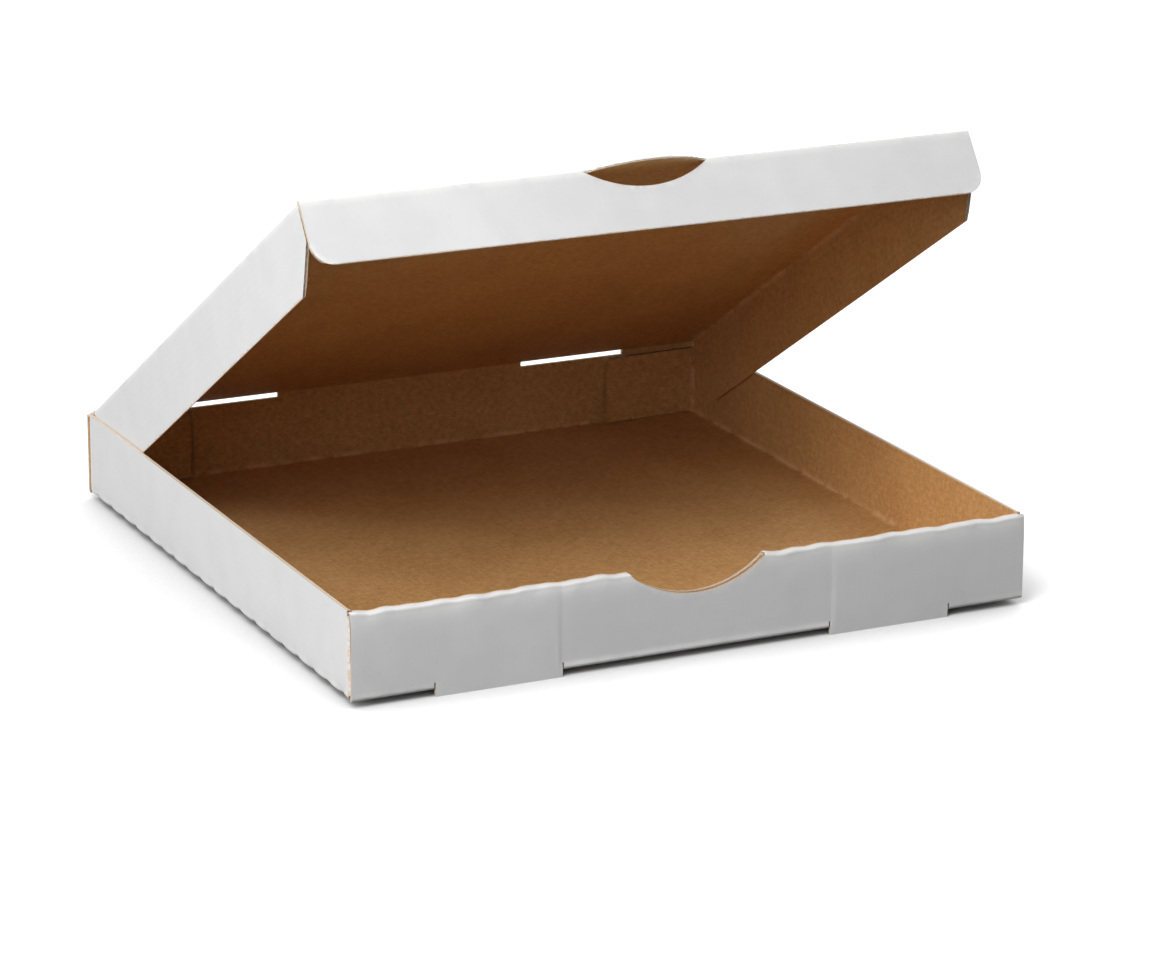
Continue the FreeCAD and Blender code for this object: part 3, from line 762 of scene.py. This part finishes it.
def makeCrease(materials):
    # the strips of board that bend between the back wall and the lid, with the two slots between them
    crease = {
        "wallCut": 0.03945,
        "lidCut": 0.00155,
        "slotNear": 0.066,
        "slotFar": 0.123,
        "wallEnd": halfWidth,
        "lidEnd": 0.1634,
        "lastRows": -0.0013,  # height of the rows just below the bend, from the axis
        "rowShare": 0.7,
        "rowGap": 0.0001,  # the inner rows keep this far apart below the inner corner
        "arcSteps": 6,
        "arcSpread": 0.0002,  # the inner corner is this long over the whole bend, half to each side
        "lidRows": (0.6, 1),
        "middle": 0.00096,  # half the length of the line along which the strip bends
    }
    half = board["thick"] / 2
    along = Vector((-math.cos(lidOpen), math.sin(lidOpen)))
    normal = Vector((math.sin(lidOpen), math.cos(lidOpen)))
    foot = crease["wallCut"] - hingeAt.z
    cornerRun = half * (1 - math.sin(lidOpen)) / math.cos(lidOpen)
    corner = -half * normal + cornerRun * along
    heights = [foot, foot * crease["rowShare"],
               crease["lastRows"], crease["lastRows"] * crease["rowShare"]]
    outer = [Vector((half, height)) for height in heights]
    inner = [Vector((-half, min(height, corner.y - crease["rowGap"] * (len(heights) - number))))
             for number, height in enumerate(heights)]
    turn = math.pi / 2 - lidOpen
    for step in range(crease["arcSteps"] + 1):
        share = step / crease["arcSteps"]
        outer.append(half * Vector((math.cos(turn * share), math.sin(turn * share))))
        spread = crease["arcSpread"] * (2 * share - 1)
        inner.append(corner + (spread * along if spread > 0 else Vector((0, spread))))
    for run in crease["lidRows"]:
        outer.append(half * normal + run * crease["lidCut"] * along)
        inner.append(-half * normal + (cornerRun + run * (crease["lidCut"] - cornerRun)) * along)

    shell = bmesh.new()
    spans = [(-1, -crease["slotFar"]), (-crease["slotNear"], crease["slotNear"]), (crease["slotFar"], 1)]
    for left, right in spans:
        start = -crease["lidEnd"] if left == -1 else left
        end = crease["lidEnd"] if right == 1 else right
        count = math.ceil((end - start) / board["cell"])
        columns = []
        for step in range(count + 1):
            rings = []
            for number, (outside, inside) in enumerate(zip(outer, inner)):
                x = start + (end - start) * step / count
                if (left == -1 and step == 0) or (right == 1 and step == count):
                    narrow = smooth(number, len(heights), len(outer) - 1)
                    reachX = crease["wallEnd"] + (crease["lidEnd"] - crease["wallEnd"]) * narrow
                    x = math.copysign(reachX, x)
                rings.append([shell.verts.new((x, hingeAt.y + point[0], hingeAt.z + point[1]))
                              for point in (outside, inside)])
            columns.append(rings)
        last = len(outer) - 1
        for first, second in zip(columns, columns[1:]):
            for row in range(last):
                shell.faces.new([first[row][0], second[row][0], second[row + 1][0], first[row + 1][0]])
                ring = [first[row][1], first[row + 1][1], second[row + 1][1], second[row][1]]
                face = shell.faces.new(ring)
                face.material_index = 1
            for row in (0, last):
                ring = [first[row][0], first[row][1], second[row][1], second[row][0]]
                face = shell.faces.new(ring if row == 0 else ring[::-1])
                face.material_index = 2
        for rings, flip in ((columns[0], False), (columns[-1], True)):
            for row in range(last):
                ring = [rings[row][0], rings[row + 1][0], rings[row + 1][1], rings[row][1]]
                face = shell.faces.new(ring[::-1] if flip else ring)
                face.material_index = 2
    bmesh.ops.recalc_face_normals(shell, faces=shell.faces)
    pieces = finishBoard("crease", shell, Matrix.Identity(4), lambda point: abs(point.x),
                         lambda point: 0, lambda point, across: point.copy(), materials, fluted=False)
    middle = (Vector((0, 1)) + along).normalized() * crease["middle"]
    return pieces, [hingeAt + side * Vector((0, middle.x, middle.y)) for side in (-1, 1)]


def makeFloor():
    floor = {"size": 12, "seen": 0.60, "bounce": 0.18, "lift": 1.0, "shadowReach": 0.16, "fade": 2.2}
    mesh = bpy.data.meshes.new("floor")
    side = floor["size"] / 2
    corners = [(-side, -side, 0), (side, -side, 0), (side, side, 0), (-side, side, 0)]
    mesh.from_pydata(corners, [], [(0, 1, 2, 3)])
    paint = Paint(bpy.data.materials.new("pale_floor"))
    path = paint.node("ShaderNodeLightPath")
    seen = path + paint.node("ShaderNodeLightPath", None, None, 3)
    tone = floor["bounce"] + seen * (floor["seen"] - floor["bounce"])
    # painted contact shadow: ambient occlusion dims the floor's glow to the camera around and under the
    # box
    clear = paint.node("ShaderNodeAmbientOcclusion", {"samples": 8},
                       {"Distance": floor["shadowReach"]}, 1)
    paper = paint.node("ShaderNodeBsdfDiffuse", None, {"Color": tone})
    glow = paint.node("ShaderNodeEmission", None,
                      {"Strength": seen * clear ** floor["fade"] * floor["lift"]})
    both = paint.node("ShaderNodeAddShader", None, {0: paper, 1: glow})
    paint.node("ShaderNodeOutputMaterial", None, {"Surface": both})
    mesh.materials.append(paint.owner)
    piece = bpy.data.objects.new("floor", mesh)
    bpy.context.scene.collection.objects.link(piece)


def makeLights():
    # soft light from behind and the right, and lamps from the left and the front
    sky = {"towards": (0.58, 0.80, 0.15), "least": 0.02, "most": 0.75, "from": -0.1, "to": 0.6}
    aimAt = Vector((0, 0, 0.06))
    world = bpy.data.worlds.new("studio")
    bpy.context.scene.world = world
    paint = Paint(world)
    seen = paint.node("ShaderNodeLightPath") + paint.node("ShaderNodeLightPath", None, None, 3)
    seen = paint.maths("MINIMUM", seen, 1)
    direction = paint.node("ShaderNodeTexCoord", None, None, 0)
    behind = paint.node("ShaderNodeVectorMath", {"operation": "DOT_PRODUCT"},
                        {0: direction, 1: sky["towards"]}, 1)
    soft = sky["least"] + sky["most"] * paint.between(behind, sky["from"], sky["to"])
    strength = seen + (1 - seen) * soft
    back = paint.node("ShaderNodeBackground", None, {"Color": (1, 1, 1, 1), "Strength": strength})
    paint.node("ShaderNodeOutputWorld", None, {"Surface": back})
    lamps = [
        {"name": "side", "at": (-2.2, -0.2, 0.8), "size": 1.6, "power": 15.5},
        {"name": "quarter", "at": (-1.8, -1.4, 1.0), "size": 1.6, "power": 10.1},
        {"name": "above", "at": (-0.8, -0.7, 1.2), "size": 0.8, "power": 12.8},
        {"name": "over", "at": (-0.3, -0.5, 1.4), "size": 0.8, "power": 1.8},
        {"name": "front", "at": (-0.5, -2.0, 1.5), "size": 1.6, "power": 3.6},
    ]
    for lamp in lamps:
        data = bpy.data.lights.new(lamp["name"], "AREA")
        data.shape = "DISK"
        data.size = lamp["size"]
        data.energy = lamp["power"]
        light = bpy.data.objects.new(lamp["name"], data)
        light.location = lamp["at"]
        aim = aimAt - light.location
        light.rotation_euler = aim.to_track_quat("-Z", "Y").to_euler()
        light.visible_camera = False
        bpy.context.scene.collection.objects.link(light)


lookAtBox()
print("camera set")
materials = [whiteLiner(), kraftLiner(), cutEdge()]
for body, pieces in (("tray", makeTray(materials)), ("lid", makeLid(materials))):
    for piece in pieces:
        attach(piece, body)
    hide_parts(body)
creasePieces, bendLine = makeCrease(materials)
for piece in creasePieces:
    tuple(bendLine[0])
    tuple(bendLine[1])
    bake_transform(piece)
makeFloor()
makeLights()
bpy.context.scene.view_settings.view_transform = "Standard"
print("stage set")
